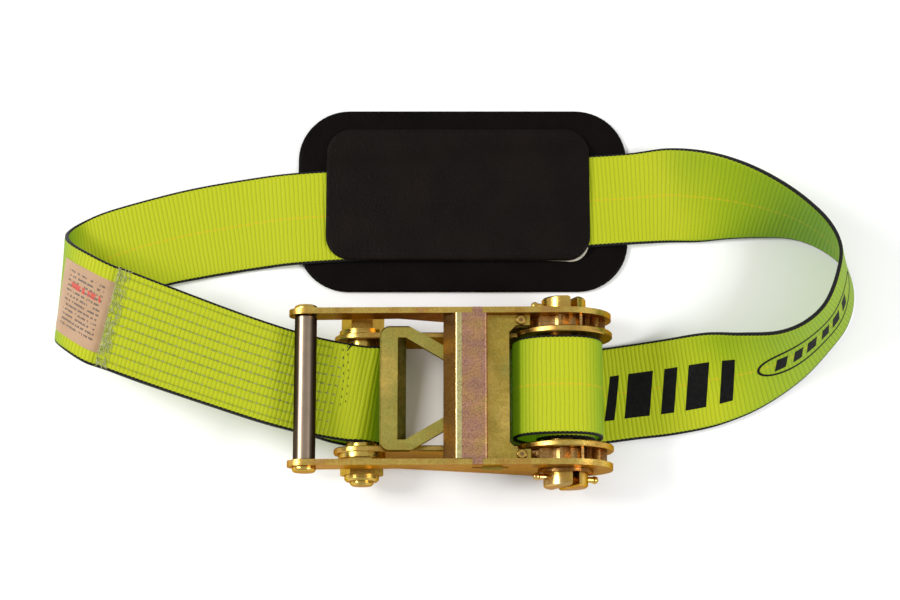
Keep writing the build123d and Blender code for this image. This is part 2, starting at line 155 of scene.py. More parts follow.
# painted light: the webbing glows green, which lifts its shaded parts
PAINTED_GLOW = (0.08, 0.20, 0.0)
PAINTED_GLOW_STRENGTH = 0.4

# ---- steel details ------------------------------------------------------------------------------------
# x range on the ridge: painted shade on the flange below the first, a painted highlight band on the bend up
# to the second
RIDGE_PAINTED_BEND = (-0.0012, 0.0016)   # metres
RIVET_R = 2.6

# ---- camera and light, metres and watts ---------------------------------------------------------------
TARGET = Vector((-0.0042, -0.0015, 0.010))
DISTANCE = 1.1
ELEVATION = math.radians(77.5)
LENS_MM = 84.68
SENSOR_MM = 36
LAMP_SIZE = (0.5, 0.4)
KEY_PLACE, KEY_POWER = (-0.95, 0.15, 0.85), 12
FILL_PLACE, FILL_POWER = (0.95, -0.35, 0.8), 9
WORLD_STRENGTH = 0.6
FLOOR_DROP = 0.0004


# ---- node helpers -------------------------------------------------------------------------------
class Shader:
    """A Principled material and short names for the nodes that feed it."""

    def __init__(self, name, **sockets):
        self.material = bpy.data.materials.new(name)
        self.material.use_nodes = True
        self.tree = self.material.node_tree
        self.bsdf = self.tree.nodes["Principled BSDF"]
        for socket, value in sockets.items():
            self.bsdf.inputs[socket.replace("_", " ")].default_value = value

    def node(self, kind, **values):
        made = self.tree.nodes.new(kind)
        for key, value in values.items():
            if hasattr(made, key):
                setattr(made, key, value)
            else:
                made.inputs[key.replace("_", " ")].default_value = value
        return made

    def link(self, source, target):
        self.tree.links.new(source, target)
        return source

    def math(self, operation, first, second=None):
        made = self.node("ShaderNodeMath", operation=operation)
        for index, value in enumerate((first, second)):
            if value is None:
                continue
            if isinstance(value, (int, float)):
                made.inputs[index].default_value = value
            else:
                self.link(value, made.inputs[index])
        return made.outputs[0]

    def place(self, scale=(1, 1, 1)):
        coordinates = self.node("ShaderNodeTexCoord")
        mapping = self.node("ShaderNodeMapping")
        mapping.inputs["Scale"].default_value = scale
        self.link(coordinates.outputs["Object"], mapping.inputs["Vector"])
        return mapping.outputs["Vector"]

    def noise(self, scale, detail=3.0, roughness=0.5, stretch=(1, 1, 1)):
        made = self.node("ShaderNodeTexNoise")
        made.inputs["Scale"].default_value = scale
        made.inputs["Detail"].default_value = detail
        made.inputs["Roughness"].default_value = roughness
        self.link(self.place(stretch), made.inputs["Vector"])
        return made.outputs["Fac"]

    def ramp(self, factor, *stops):
        made = self.node("ShaderNodeValToRGB")
        elements = made.color_ramp.elements
        while len(elements) < len(stops):
            elements.new(0.5)
        for element, (position, colour) in zip(elements, stops):
            element.position = position
            element.color = (*colour, 1)
        self.link(factor, made.inputs["Fac"])
        return made.outputs["Color"]

    def mix(self, factor, first, second, blend="MIX"):
        made = self.node("ShaderNodeMix", data_type="RGBA", blend_type=blend)
        for socket, value in ((made.inputs["Factor"], factor), (made.inputs[6], first),
                              (made.inputs[7], second)):
            if isinstance(value, (int, float)):
                socket.default_value = value
            elif isinstance(value, tuple):
                socket.default_value = (*value, 1)
            else:
                self.link(value, socket)
        return made.outputs[2]

    def upward(self):
        """Size of the upright part of the surface direction, 0 on sides and 1 on level faces."""
        split = self.node("ShaderNodeSeparateXYZ")
        self.link(self.node("ShaderNodeTexCoord").outputs["Normal"], split.inputs[0])
        return self.math("ABSOLUTE", split.outputs[2])

    def band(self, value, low, high):
        """1 where value is between low and high."""
        return self.math("MULTIPLY", self.math("GREATER_THAN", value, low),
                         self.math("LESS_THAN", value, high))

    def bump(self, height, strength, distance, under=None):
        made = self.node("ShaderNodeBump")
        made.inputs["Strength"].default_value = strength
        made.inputs["Distance"].default_value = distance
        self.link(height, made.inputs["Height"])
        if under is not None:
            self.link(under, made.inputs["Normal"])
        return made.outputs["Normal"]

    def colour(self, source):
        self.link(source, self.bsdf.inputs["Base Color"])

    def rough(self, source):
        self.link(source, self.bsdf.inputs["Roughness"])

    def normal(self, source):
        self.link(source, self.bsdf.inputs["Normal"])


def grey(value):
    return (value, value, value)


# ---- metals -------------------------------------------------------------------------------------
def zinc(name, tones, rough=(0.24, 0.42), grain=0.25, speckle=0.35, painted_bend=None):
    """Yellow chromate on zinc: tones drift over the surface, with a fine speckle and rub marks. Faces turned
    to the side get painted shade, and a given bend range gets a painted highlight band and a painted shade
    flange.
    """
    shader = Shader(name, Metallic=1.0, Specular_Tint=CHROMATE_TINT)
    drift = shader.noise(38, 4, 0.6)
    colour = shader.ramp(drift, *[(0.28 + 0.44 * i / (len(tones) - 1), tone)
                                  for i, tone in enumerate(tones)])
    if painted_bend is not None:
        split = shader.node("ShaderNodeSeparateXYZ")
        shader.link(shader.place(), split.inputs[0])
        # painted highlight band on the bend, then painted shade on the flange beyond it
        colour = shader.mix(shader.math("LESS_THAN", split.outputs[0], painted_bend[1]), colour, PAINTED_HIGHLIGHT_GOLD)
        colour = shader.mix(shader.math("LESS_THAN", split.outputs[0], painted_bend[0]), colour, PAINTED_SHADE_BROWN)
    fine = shader.noise(1100, 5, 0.8)
    speckled = shader.mix(speckle, colour, shader.ramp(fine, (0.38, (0.30, 0.22, 0.22)), (0.5, grey(0.9)),
                                                       (0.66, (1.5, 1.45, 1.3))), "MULTIPLY")
    # painted shade: colour darkens where the surface turns to the side
    painted_side_shade = shader.ramp(shader.upward(), (0.0, (0.66, 0.58, 0.48)), (0.8, grey(1.0)))
    shader.colour(shader.mix(1.0, speckled, painted_side_shade, "MULTIPLY"))
    rub = shader.noise(260, 4, 0.6, stretch=(0.15, 1, 1))
    shader.rough(shader.ramp(rub, (0.3, grey(rough[0])), (0.7, grey(rough[1]))))
    shader.normal(shader.bump(shader.noise(1400, 4, 0.7), grain, 0.0002,
                              shader.bump(drift, 0.15, 0.0008)))
    return shader.material


metals = {
    "plate": zinc("zinc_plate", (OLIVE, GOLD, STRAW, GOLD, ROSE), (0.22, 0.40)),
    "ridge": zinc("zinc_ridge", (GREENISH, ROSE, VIOLET, ROSE, GREENISH), (0.30, 0.46), 0.4, 0.6,
                  RIDGE_PAINTED_BEND),
    "web": zinc("zinc_web", (GREENISH, OLIVE, STRAW, GOLD), (0.28, 0.45), 0.4, 0.35),
    "pull": zinc("zinc_pull", (OLIVE, GREENISH, STRAW), (0.30, 0.44), 0.35, 0.3),
    "wheel": zinc("zinc_wheel", ((0.22, 0.12, 0.04), (0.42, 0.24, 0.08), (0.56, 0.36, 0.12)),
                  (0.2, 0.34), speckle=0.6),
    "spindle": zinc("zinc_spindle", (STRAW, GOLD, (0.80, 0.70, 0.42)), (0.16, 0.32), 0.15, 0.2),
    "bolt": zinc("zinc_bolt", (OLIVE, STRAW, GOLD), (0.18, 0.36), 0.2, 0.25),
}


def dark_steel(name, tone, rough):
    """Drawn steel: streaks along its length and a few worn spots. Its sides get painted shade and its top a
    painted highlight.
    """
    shader = Shader(name, Metallic=1.0, Specular_Tint=(0.5, 0.4, 0.3, 1))
    streaks = shader.noise(700, 5, 0.65, stretch=(1, 0.04, 1))
    drawn = shader.ramp(streaks, (0.3, tuple(0.8 * c for c in tone)), (0.7, tone))
    # painted light: dark sides, full tone only where the surface faces up
    painted_side_shade = shader.ramp(shader.upward(), (0.2, grey(0.16)), (0.80, grey(0.2)), (0.97, grey(1.0)))
    shader.colour(shader.mix(1.0, drawn, painted_side_shade, "MULTIPLY"))
    shader.rough(shader.ramp(shader.noise(160, 4, 0.6), (0.3, grey(rough)), (0.75, grey(rough + 0.1))))
    shader.normal(shader.bump(streaks, 0.05, 0.0002))
    return shader.material


metals["grip"] = dark_steel("grip_steel", (0.38, 0.29, 0.21), 0.32)
metals["spring"] = dark_steel("spring_steel", (0.22, 0.19, 0.16), 0.28)


def riveted(name, middle, half_gap):
    """Rivet heads with a dark middle and a dark rim, both painted shade, round a bright ring of painted
    highlight; the two stand half_gap either side of middle.
    """
    shader = Shader(name, Metallic=1.0, Specular_Tint=CHROMATE_TINT)
    split = shader.node("ShaderNodeSeparateXYZ")
    shader.link(shader.place(), split.inputs[0])
    off_x = shader.math("SUBTRACT", split.outputs[0], middle.x)
    off_y = shader.math("SUBTRACT", shader.math("ABSOLUTE", shader.math("SUBTRACT", split.outputs[1],
                                                                        middle.y)), half_gap)
    square = shader.math("ADD", shader.math("POWER", off_x, 2), shader.math("POWER", off_y, 2))
    radius = shader.math("MULTIPLY", shader.math("SQRT", square), 1000 / RIVET_R)
    # painted shade in the middle and at the rim, a painted highlight ring between
    shader.colour(shader.ramp(radius, (0.36, PAINTED_SHADE_BROWN), (0.46, STRAW), (0.72, GOLD),
                              (0.90, (0.12, 0.07, 0.02))))
    shader.rough(shader.ramp(shader.noise(400, 3), (0.3, grey(0.24)), (0.7, grey(0.36))))
    return shader.material


rivet_low, rivet_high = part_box("web_rivets")
metals["rivet"] = riveted("zinc_rivet", (rivet_low + rivet_high) / 2,
                          (rivet_high.y - rivet_low.y) / 2 - RIVET_R * MM)

NODE_METAL = {
    "plate": ("frame_plate_near", "frame_plate_far", "handle_plate_near", "handle_plate_far",
              "frame_spring_seat"),
    "ridge": ("handle_ridge",),
    "web": ("handle_web",),
    "pull": ("handle_pawl", "frame_pawl"),
    "wheel": ("ratchet_wheel_near_inner", "ratchet_wheel_near_outer", "ratchet_wheel_far_inner",
              "ratchet_wheel_far_outer", "spindle_washers"),
    "spindle": ("spindle_half_left", "spindle_half_right", "cotter_pins"),
    "bolt": ("anchor_bolt", "anchor_nut", "anchor_washers", "anchor_sleeve", "grip_rod"),
    "rivet": ("web_rivets",),
    "grip": ("grip_tube",),
}
for metal, names in NODE_METAL.items():
    for name in names:
        mesh = frame["nodes"][name].data
        mesh.materials.clear()
        mesh.materials.append(metals[metal])


# ---- webbing material -----------------------------------------------------------------------------
def web_shader(name, stitched=False):
    """Woven polyester. The UV map holds width (0 to 1) and length in webbing widths."""
    shader = Shader(name, Roughness=0.6, Sheen_Weight=0.04, Specular_IOR_Level=0.18)
    split = shader.node("ShaderNodeSeparateXYZ")
    shader.link(shader.node("ShaderNodeUVMap", uv_map="web").outputs["UV"], split.inputs[0])
    across, along = split.outputs[0], split.outputs[1]
    wobble = shader.math("MULTIPLY", shader.math("SUBTRACT", shader.noise(90, 2), 0.5), 1.1)
    phase = shader.math("ADD", shader.math("MULTIPLY", along, math.pi * WEB_WIDTH / RIB_PITCH), wobble)
    rib = shader.math("ABSOLUTE", shader.math("SINE", phase))
    yarn = shader.math("ABSOLUTE", shader.math("SINE", shader.math("MULTIPLY", across, math.pi * YARNS)))
    from_middle = shader.math("ABSOLUTE", shader.math("SUBTRACT", across, 0.5))
    # painted light: lit lime on level faces, shade green where the surface turns to the side
    tilt = shader.math("ADD", shader.upward(), shader.math("MULTIPLY", shader.noise(30, 3), 0.12))
    lime = shader.ramp(tilt, (0.10, SHADE_GREEN), (0.66, MID_LIME), (1.05, LIT_LIME))
    # weave pattern, partly painted shade: rib valleys and the lines between yarns are darker
    rib_valley_shade = shader.ramp(rib, (0.0, grey(0.62)), (0.5, grey(0.96)), (1.0, grey(1.0)))
    colour = shader.mix(0.85, lime, rib_valley_shade, "MULTIPLY")
    colour = shader.mix(0.3, colour, shader.ramp(yarn, (0.0, grey(0.6)), (0.5, grey(1.0))), "MULTIPLY")
    if stitched:
        row = shader.math("FRACT", shader.math("ADD", shader.math("MULTIPLY", across, WEB_WIDTH / ROW_PITCH),
                                               0.5 - ROW_OFFSET / ROW_PITCH))
        off_row = shader.math("ABSOLUTE", shader.math("SUBTRACT", row, 0.5))
        in_rows = shader.math("LESS_THAN", along, SEWN_SPAN / WEB_WIDTH)
        # painted shade along the stitch rows, where the cloth is pulled into creases
        row_crease_shade = shader.ramp(off_row, (0.03, grey(0.50)), (0.14, grey(0.95)), (0.4, grey(1.0)))
        colour = shader.mix(shader.math("MULTIPLY", in_rows, 0.8), colour, row_crease_shade, "MULTIPLY")
    else:
        dash = shader.math("GREATER_THAN", shader.math("SINE", phase), -0.6)
        centre = shader.math("MULTIPLY", shader.math("LESS_THAN", from_middle, 0.009), dash)
        colour = shader.mix(shader.math("MULTIPLY", centre, 0.45), colour, TRACER)
    scallop = shader.math("MULTIPLY", shader.math("SUBTRACT", rib, 0.5), 0.35 / WEB_WIDTH)
    edge = shader.math("GREATER_THAN", shader.math("ADD", from_middle, scallop),
                       0.5 - SELVEDGE / WEB_WIDTH)
    shader.colour(shader.mix(edge, colour, grey(0.005)))
    # painted light: green glow on the webbing, none on the black edges
    painted_glow = shader.mix(edge, PAINTED_GLOW, grey(0.0))
    shader.link(painted_glow, shader.bsdf.inputs["Emission Color"])
    shader.bsdf.inputs["Emission Strength"].default_value = PAINTED_GLOW_STRENGTH
    height = shader.math("ADD", rib, shader.math("MULTIPLY", yarn, 0.25))
    normal = shader.bump(height, 0.5, 0.0005)
    shader.normal(shader.bump(shader.noise(1800, 3, 0.7), 0.12, 0.0002, normal))
    return shader.material


web_material = web_shader("webbing")
sewn_material = web_shader("webbing_sewn", stitched=True)


# ---- mesh helpers ---------------------------------------------------------------------------------
def new_object(name, verts, faces, material, body=None, smooth=True, uvs=None):
    mesh = bpy.data.meshes.new(name)
    mesh.from_pydata([tuple(v) for v in np.asarray(verts) * MM], [], faces)
    if uvs is not None:
        layer = mesh.uv_layers.new(name="web")
        corners = np.empty(len(mesh.loops), int)
        mesh.loops.foreach_get("vertex_index", corners)
        layer.data.foreach_set("uv", np.asarray(uvs, np.float32)[corners].ravel())
    mesh.materials.append(material)
    mesh.polygons.foreach_set("use_smooth", [smooth] * len(mesh.polygons))
    mesh.update()
    made = bpy.data.objects.new(name, mesh)
    bpy.context.scene.collection.objects.link(made)
    if body:
        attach(made, body)
    return made


def ring_faces(rows, ring):
    """Faces of a tube of rings, with end caps."""
    faces = []
    for row in range(rows - 1):
        here, there = row * ring, (row + 1) * ring
        for i in range(ring):
            j = (i + 1) % ring
            faces.append((here + i, here + j, there + j, there + i))
    faces.append(tuple(reversed(range(ring))))
    faces.append(tuple(range((rows - 1) * ring, rows * ring)))
    return faces


def smooth_curve(points, count):
    """Centripetal Catmull-Rom curve through points, sampled at count even steps of its length."""
    points = np.asarray(points, float)
    ends = np.vstack((2 * points[0] - points[1], points, 2 * points[-1] - points[-2]))
    samples = []
    for i in range(1, len(ends) - 2):
        p0, p1, p2, p3 = ends[i - 1:i + 3]
        t0 = 0.0
        t1 = t0 + np.linalg.norm((p1 - p0)[:3]) ** 0.5 + 1e-6
        t2 = t1 + np.linalg.norm((p2 - p1)[:3]) ** 0.5 + 1e-6
        t3 = t2 + np.linalg.norm((p3 - p2)[:3]) ** 0.5 + 1e-6
        for t in np.linspace(t1, t2, 40, endpoint=False):
            a1 = (t1 - t) / (t1 - t0) * p0 + (t - t0) / (t1 - t0) * p1
            a2 = (t2 - t) / (t2 - t1) * p1 + (t - t1) / (t2 - t1) * p2
            a3 = (t3 - t) / (t3 - t2) * p2 + (t - t2) / (t3 - t2) * p3
            b1 = (t2 - t) / (t2 - t0) * a1 + (t - t0) / (t2 - t0) * a2
            b2 = (t3 - t) / (t3 - t1) * a2 + (t - t1) / (t3 - t1) * a3
            samples.append((t2 - t) / (t2 - t1) * b1 + (t - t1) / (t2 - t1) * b2)
    samples.append(ends[-2])
    samples = np.array(samples)
    steps = np.linalg.norm(np.diff(samples[:, :3], axis=0), axis=1)
    length = np.concatenate(([0], np.cumsum(steps)))
    even = np.linspace(0, length[-1], count)
    return np.stack([np.interp(even, length, samples[:, k]) for k in range(samples.shape[1])], axis=1)


class Strip:
    """Webbing along a run of (middle, width direction) stations; gives points on its faces."""

    def __init__(self, stations, step=1.5):
        rough = smooth_curve(stations, 400)
        length = np.linalg.norm(np.diff(rough[:, :3], axis=0), axis=1).sum()
        self.rows = int(length / step) + 2
        both = smooth_curve(stations, self.rows)
        self.middle = both[:, :3]
        self.along = np.linspace(0, length, self.rows)
        self.length = length
        tangent = np.gradient(self.middle, axis=0)
        tangent /= np.linalg.norm(tangent, axis=1)[:, None]
        self.half = np.linalg.norm(both[:, 3:], axis=1)
        self.width = both[:, 3:] / self.half[:, None]
        normal = np.cross(self.width, tangent)
        self.normal = normal / np.linalg.norm(normal, axis=1)[:, None]

    def at(self, along, across, lift):
        """Point at a length along, millimetres across from the middle, and lift off the mid plane."""
        picked = []
        for field in (self.middle, self.width, self.normal):
            picked.append(np.array([np.interp(along, self.along, field[:, k]) for k in range(3)]))
        half = np.interp(along, self.along, self.half)
        middle, width, normal = picked
        normal = normal / np.linalg.norm(normal)
        return middle + width * across * half / (WEB_WIDTH / 2) + normal * lift


def web_ring():
    """Cross-section of webbing: (across, lift) round its rim, with soft selvedges."""
    columns, inset = 22, 0.35
    half, face, shoulder = WEB_WIDTH / 2, WEB_THICK / 2, WEB_THICK * 0.42
    inner = [-half + 2 * half * i / columns for i in range(1, columns)]
    upper = [(place, face) for place in inner]
    lower = [(place, -face) for place in reversed(inner)]
    return [(-half, 0), (-half + inset, shoulder), *upper, (half - inset, shoulder), (half, 0),
            (half - inset, -shoulder), *lower, (-half + inset, -shoulder)]


def web_piece(name, strip, body, lift=None, material=web_material):
    """Closed mesh of a strip; lift(along, across, rise) adds to the thickness direction."""
    rim = web_ring()
    verts, uvs = [], []
    for row in range(strip.rows):
        middle, width, normal = strip.middle[row], strip.width[row], strip.normal[row]
        reach = strip.half[row] / (WEB_WIDTH / 2)
        for across, rise in rim:
            extra = lift(strip.along[row], across, rise) if lift else 0.0
            verts.append(middle + width * across * reach + normal * (rise + extra))
            uvs.append((across / WEB_WIDTH + 0.5, strip.along[row] / WEB_WIDTH))
    made = new_object(name, verts, ring_faces(strip.rows, len(rim)), material, body, uvs=uvs)
    return made


# ---- the loop -------------------------------------------------------------------------------------
def across(centre, lean, half=WEB_WIDTH / 2):
    """Station from its middle and the X and Z parts of its width direction."""
    width = Vector((lean[0], 1, lean[1])).normalized() * half
    return (*centre, *width)


def between(lower, upper):
    """Station from the webbing's two edges, set to the real width."""
    lower, upper = Vector(lower), Vector(upper)
    width = (upper - lower).normalized() * WEB_WIDTH / 2
    return (*((lower + upper) / 2), *width)


def left_turn():
    """Upright half turn at the far left, from the near run's height down to the far run."""
    stations = []
    for step in range(1, 6):
        angle = math.pi * step / 6
        centre = (TURN_X - TURN_R * math.sin(angle), TURN_NEAR_Y + TURN_Y_SPAN * step / 6,
                  FLOOR_Z + TURN_R + TURN_R * math.cos(angle))
        lean = 0.04 * math.sin(angle) + TURN_LEAN * math.cos(angle)
        stations.append(across(centre, (lean, 0.02 * step), 25.8))
    return stations


def outer_turn():
    """Loose turn round the spindle: from its bottom to the left, over the top and down again."""
    left, rise, right = (reach - WEB_THICK / 2 for reach in OUTER_TURN)
    stations = []
    for step in range(13):
        angle = math.radians(25 * step)
        sideways, upward = -math.sin(angle), -math.cos(angle)
        reach = left if sideways < 0 else right
        if upward > 0:
            sideways = math.copysign(abs(sideways) ** SHOULDER, sideways)
            upward = upward ** SHOULDER
        centre = (SPINDLE.x + reach * sideways, OUTER_Y, SPINDLE.z + rise * upward)
        stations.append(across(centre, (0, 0)))
    return stations


near_left = [
    across((-71.8, -50.4, 25.4), (0.20, 0)),
    across((-92.0, -45.4, 28.5), (0.24, 0.01)),
    across((-115.0, -38.5, 33.0), (0.26, 0.02)),
    across((-153.0, -26.0, 40.5), (0.26, 0.01), 25.6),
    across((-171.0, -19.6, 43.6), (0.22, 0.01), 25.8),
    across((TURN_X, TURN_NEAR_Y, FLOOR_Z + 2 * TURN_R), (TURN_LEAN, 0), 26.2),
]
far_run = [
    across((TURN_X, 23.0, FLOOR_Z + 2.4), (-TURN_LEAN, 0.10), 24.2),
    across((-160.0, 30.2, FLOOR_Z + 2.4), (-0.22, 0.10), 23.6),
    across((-136.0, 36.2, FLOOR_Z + 1.2), (-0.18, 0.05), 24.4),
    across((-104.0, 42.0, FLOOR_Z + 0.3), (-0.10, 0)),
    across((-88.0, 43.6, PAD_Z), (-0.07, 0)),
    across((-60.0, 45.6, PAD_Z), (-0.06, 0)),
    across((0.0, 49.3, PAD_Z), (-0.06, 0)),
    across((60.0, 52.8, PAD_Z), (-0.05, 0)),
    across((92.5, 54.9, PAD_Z), (-0.04, 0)),
]
right_side = [
    between((110, 31.5, 1.8), (111, 80.0, 11)),
    between((127.6, 32.4, 1.4), (130, 72.8, 28)),
    between((143, 33.7, 1.4), (146.5, 64.0, 40)),
    between((159.3, 34.5, 1.4), (162, 53.5, 47)),
    between((176, 34.0, 1.4), (176, 42.0, 49.5)),
    between((191, 28.3, 1.4), (187.5, 29.5, 50)),
    between((202.5, 18.5, 1.4), (192.5, 17.5, 49.5)),
    between((206.8, 4, 1.4), (190.5, 4, 48.5)),
    between((203, -13, 1.4), (184, -11, 47.5)),
    between((192, -27.5, 1.4), (174, -20.5, 47)),
    between((177.7, -42.1, 1.4), (161, -25.4, 45)),
    between((156.4, -56.8, 1.4), (143.5, -24.6, 37)),
    between((136, -65, 1.4), (127.5, -21.8, 22)),
    between((112, -70.8, 1.3), (106, -21.8, 6)),
]
near_right = [
    across((90.0, -48.5, FLOOR_Z), (-0.12, 0)),
    across((71.0, -51.0, FLOOR_Z + 0.1), (-0.05, 0)),
]
EYE_MID = sleeve_high.z - BOLT.z + 0.35 + WEB_THICK / 2
eye_under = [
    across((BOLT.x - 2.0, EYE_Y, BOLT.z - EYE_MID), (0.04, 0)),
    across((BOLT.x - 12.0, EYE_Y + 1.2, BOLT.z - 2.6), (0.14, 0)),
]
main_strip = Strip(eye_under + near_left + left_turn() + far_run + right_side + near_right + outer_turn())
strap = web_piece("strap_loop", main_strip, "frame")
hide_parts("strap_near_left", "strap_left_turn", "strap_far_left", "strap_far_middle",
            "strap_far_right", "strap_right_turn", "strap_near_right", "strap_outer_turn")


def along_at(strip, x, first, last):
    """Length along the strip where its middle passes x, searched between two lengths."""
    inside = (strip.along >= first) & (strip.along <= last)
    places, lengths = strip.middle[inside, 0], strip.along[inside]
    order = np.argsort(places)
    return float(np.interp(x, places[order], lengths[order]))


# ---- thin pieces that follow the webbing's face ----------------------------------------------------
def patch_on(name, strip, shape, columns, rows, material, lift, thick):
    """Thin closed sheet on a strip; shape(s, t), with s and t from 0 to 1, gives (along, across)."""
    verts, uvs = [], []
    for layer in (lift, lift + thick):
        for j in range(rows + 1):
            for i in range(columns + 1):
                along, over = shape(i / columns, j / rows)
                verts.append(strip.at(along, over, layer))
                uvs.append((i / columns, j / rows))
    wide = columns + 1
    count = wide * (rows + 1)
    faces = []
    for j in range(rows):
        for i in range(columns):
            a = j * wide + i
            faces.append((a, a + wide, a + wide + 1, a + 1))
            faces.append((count + a, count + a + 1, count + a + wide + 1, count + a + wide))
    rim = list(range(columns)) + [j * wide + columns for j in range(rows)]
    rim += [rows * wide + i for i in range(columns, 0, -1)] + [j * wide for j in range(rows, 0, -1)]
    for here, there in zip(rim, rim[1:] + rim[:1]):
        faces.append((here, there, count + there, count + here))
    return new_object(name, verts, faces, material, "frame", smooth=False, uvs=uvs)


# ---- sewn-back end, with its eye round the bolt sleeve ---------------------------------------------
sewn_from = along_at(main_strip, SEWN_LEFT, 0, 200)
sewn_to = along_at(main_strip, SEWN_MEETS_EYE, 0, 200)


def station_on(strip, along, lift):
    """Station for a second strip that lies on the first, lift off its mid plane."""
    middle = strip.at(along, 0, lift)
    width = strip.at(along, WEB_WIDTH / 2, lift) - middle
    return (*middle, *width)


def sewn_stations():
    stations = [station_on(main_strip, along, WEB_THICK + 0.1)
                for along in np.linspace(sewn_from, sewn_to, 7)]
    for degrees in (100, 70, 35, 0, -35, -75):
        turned = math.radians(degrees)
        lean = 0.04 + 0.16 * max(0, math.sin(turned))
        stations.append(across((BOLT.x + EYE_MID * math.cos(turned), EYE_Y,
                                BOLT.z + EYE_MID * math.sin(turned)), (lean, 0)))
    return stations


sewn_strip = Strip(sewn_stations(), step=0.9)
sewn_length = along_at(sewn_strip, SEWN_RIGHT, 0, 130)


def pucker(along, across_mm, rise):
    """Rows of stitches pull the upper face down; the cloth swells between them."""
    if rise > 0 or along > sewn_length:
        return 0.0
    nearest = min(abs(across_mm - row) for row in STITCH_ROWS)
    pull = math.exp(-(nearest / 0.7) ** 2) * (0.75 + 0.25 * math.sin(2 * math.pi * along / STITCH_PITCH))
    swell = 0.18 * math.sin(2 * math.pi * along / RIB_PITCH) * (1 - pull)
    return 0.5 * pull - swell * 0.7


sewn_end = web_piece("sewn_end", sewn_strip, "frame", lift=pucker, material=sewn_material)
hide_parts("strap_sewn_end", "strap_eye")


def thread_shader(name, dark, light):
    shader = Shader(name, Roughness=0.7, Specular_IOR_Level=0.1)
    shader.colour(shader.ramp(shader.noise(600, 3), (0.3, dark), (0.7, light)))
    shader.normal(shader.bump(shader.noise(3000, 2), 0.2, 0.0001))
    return shader.material


def stitches(name, places, material, length=2.7, width=0.75, height=0.5):
    """Short rounded stitches; each place is (middle, along direction, up direction)."""
    ring_count, stations = 6, (-1, -0.8, -0.35, 0.35, 0.8, 1)
    verts, faces = [], []
    for middle, heading, up in places:
        side = np.cross(up, heading)
        base = len(verts)
        for t in stations:
            swell = math.sqrt(max(0.0, 1 - t * t)) * 0.6 + 0.4 * (abs(t) < 1)
            for k in range(ring_count):
                turned = 2 * math.pi * k / ring_count
                verts.append(middle + heading * t * length / 2
                             + side * math.cos(turned) * swell * width / 2
                             + up * (math.sin(turned) * swell * height / 2 - 0.25 * t * t))
        faces += [tuple(base + i for i in face) for face in ring_faces(len(stations), ring_count)]
    return new_object(name, verts, faces, material, "frame")


def row_places(strip, rows, first, last, pitch, lift, jitter):
    """Places of stitches in lengthwise rows, each a little off its line."""
    places = []
    for row in rows:
        along = first + pitch * random.random()
        while along < last:
            side_step = row + jitter * (random.random() - 0.5)
            here = strip.at(along, side_step, lift)
            ahead = strip.at(along + 1.0, side_step + jitter * (random.random() - 0.5), lift)
            heading = (ahead - here) / np.linalg.norm(ahead - here)
            beside = strip.at(along, side_step + 1.0, lift) - here
            up = np.cross(heading, beside)
            up = up / np.linalg.norm(up)
            places.append((here, heading, up if up[2] > 0 else -up))
            along += pitch
    return places


sewing = thread_shader("thread_green", (0.16, 0.20, 0.05), (0.38, 0.40, 0.16))
sewn_stitches = stitches("sewn_stitches",
                         row_places(sewn_strip, STITCH_ROWS, 2.0, sewn_length, STITCH_PITCH,
                                    -(WEB_THICK / 2 - 0.28), 0.5),
                         sewing)


def end_tack():
    """Curved line of dark stitches across the webbing where the sewn part stops."""
    places = []
    for count in range(TACK_STITCHES):
        across_mm = 23.0 - 2.0 * count
        curve = 5.0 * math.sin(count / (TACK_STITCHES - 1) * math.pi / 2)
        along = sewn_length - 1.0 + curve - 2.4 * (count % 2)
        here = sewn_strip.at(along, across_mm, -WEB_THICK / 2)
        reach = sewn_strip.at(along + 0.25, across_mm - 1.0, -WEB_THICK / 2) - here
        reach /= np.linalg.norm(reach)
        beside = sewn_strip.at(along + 1.0, across_mm, -WEB_THICK / 2) - here
        up = np.cross(beside, reach)
        up /= np.linalg.norm(up)
        places.append((here, reach, up if up[2] > 0 else -up))
    return places


# painted shade: a near-black sheet stands for the shaded nick in the edge
notch_shade_material = thread_shader("notch_painted_shade", grey(0.003), grey(0.008))


def notch_shape(s, t):
    """Dark sheet of painted shade for the nick in the near edge where the sewn part stops."""
    return sewn_length + 0.5 + (1.5 - t) * s - 1.4 * t, 25.0 - 4.5 * t + 0.5 * s


edge_notch_shade = patch_on("edge_notch_shade", sewn_strip, notch_shape, 3, 5, notch_shade_material,
                      -WEB_THICK / 2 - 0.25, 0.2)
dark_thread = thread_shader("thread_dark", (0.05, 0.07, 0.01), (0.12, 0.15, 0.03))
tack = stitches("end_tack", end_tack(), dark_thread, length=1.7, width=0.55)


def frayed_end():
    """Loose yarn ends lying over the cut of the sewn end."""
    places = []
    for count in range(FRAY_THREADS):
        along, across_mm = FRAY * random.random() ** 1.5, -24.5 + 49 * random.random()
        here = sewn_strip.at(along, across_mm, -WEB_THICK / 2 - 0.1 - 0.3 * random.random())
        turned = 2 * math.pi * random.random()
        reach = (sewn_strip.at(along + math.cos(turned), across_mm + 1.6 * math.sin(turned),
                               -WEB_THICK / 2 - 0.2) - here)
        reach /= np.linalg.norm(reach)
        up = np.cross(reach, np.array([0.0, 0.3, 1.0]))
        places.append((here, reach, up / np.linalg.norm(up)))
    return places


fray_places = frayed_end()
pale_thread = thread_shader("thread_frayed", (0.26, 0.29, 0.09), (0.52, 0.52, 0.26))
frayed = stitches("frayed_threads", fray_places, pale_thread, length=3.0, width=0.24, height=0.24)


